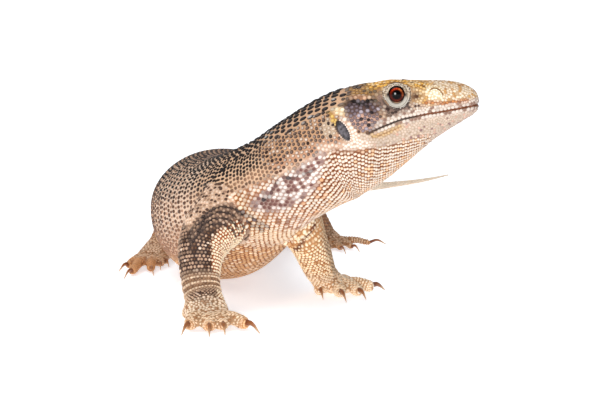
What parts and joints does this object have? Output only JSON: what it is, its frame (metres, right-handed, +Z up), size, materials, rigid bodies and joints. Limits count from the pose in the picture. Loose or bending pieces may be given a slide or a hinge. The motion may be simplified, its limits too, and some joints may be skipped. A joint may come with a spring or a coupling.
{
  "type": "savannah monitor lizard",
  "caption": "Stocky monitor lizard standing on spread forelegs with its head raised and turned, belly on the ground, and a long tapering tail behind.",
  "frame": {"origin": "on the floor, under the middle of the bounding box", "axes": "+Z up; the trunk points along -Y, towards the picture's camera, with the tail behind it along +Y; the head is turned to point along +X"},
  "size_m": [0.1991, 0.6034, 0.1114],
  "materials": {
    "scaled_skin": "matte, dry scales",
    "claw_horn": "satin horn",
    "eye": "wet gloss",
    "eardrum_skin": "thin stretched skin"
  },
  "bodies": {
    "root": {"head": "scaled_skin", "neck": "scaled_skin", "torso": "scaled_skin", "tail_base": "scaled_skin", "tail_middle": "scaled_skin", "tail_end": "scaled_skin", "tail_tip": "scaled_skin", "right_front_upper": "scaled_skin", "right_front_lower": "scaled_skin", "right_front_foot": "scaled_skin", "left_front_upper": "scaled_skin", "left_front_lower": "scaled_skin", "left_front_foot": "scaled_skin", "right_hind_upper": "scaled_skin", "right_hind_lower": "scaled_skin", "right_hind_foot": "scaled_skin", "left_hind_upper": "scaled_skin", "left_hind_lower": "scaled_skin", "left_hind_foot": "scaled_skin", "right_front_claw_1": "claw_horn", "right_front_claw_2": "claw_horn", "right_front_claw_3": "claw_horn", "right_front_claw_4": "claw_horn", "right_front_claw_5": "claw_horn", "left_front_claw_1": "claw_horn", "left_front_claw_2": "claw_horn", "left_front_claw_3": "claw_horn", "left_front_claw_4": "claw_horn", "left_front_claw_5": "claw_horn", "right_hind_claw_1": "claw_horn", "right_hind_claw_2": "claw_horn", "right_hind_claw_3": "claw_horn", "right_hind_claw_4": "claw_horn", "right_hind_claw_5": "claw_horn", "left_hind_claw_1": "claw_horn", "left_hind_claw_2": "claw_horn", "left_hind_claw_3": "claw_horn", "left_hind_claw_4": "claw_horn", "left_hind_claw_5": "claw_horn", "right_eye": "eye", "left_eye": "eye", "right_ear": "eardrum_skin", "left_ear": "eardrum_skin"}
  },
  "joints": []
}
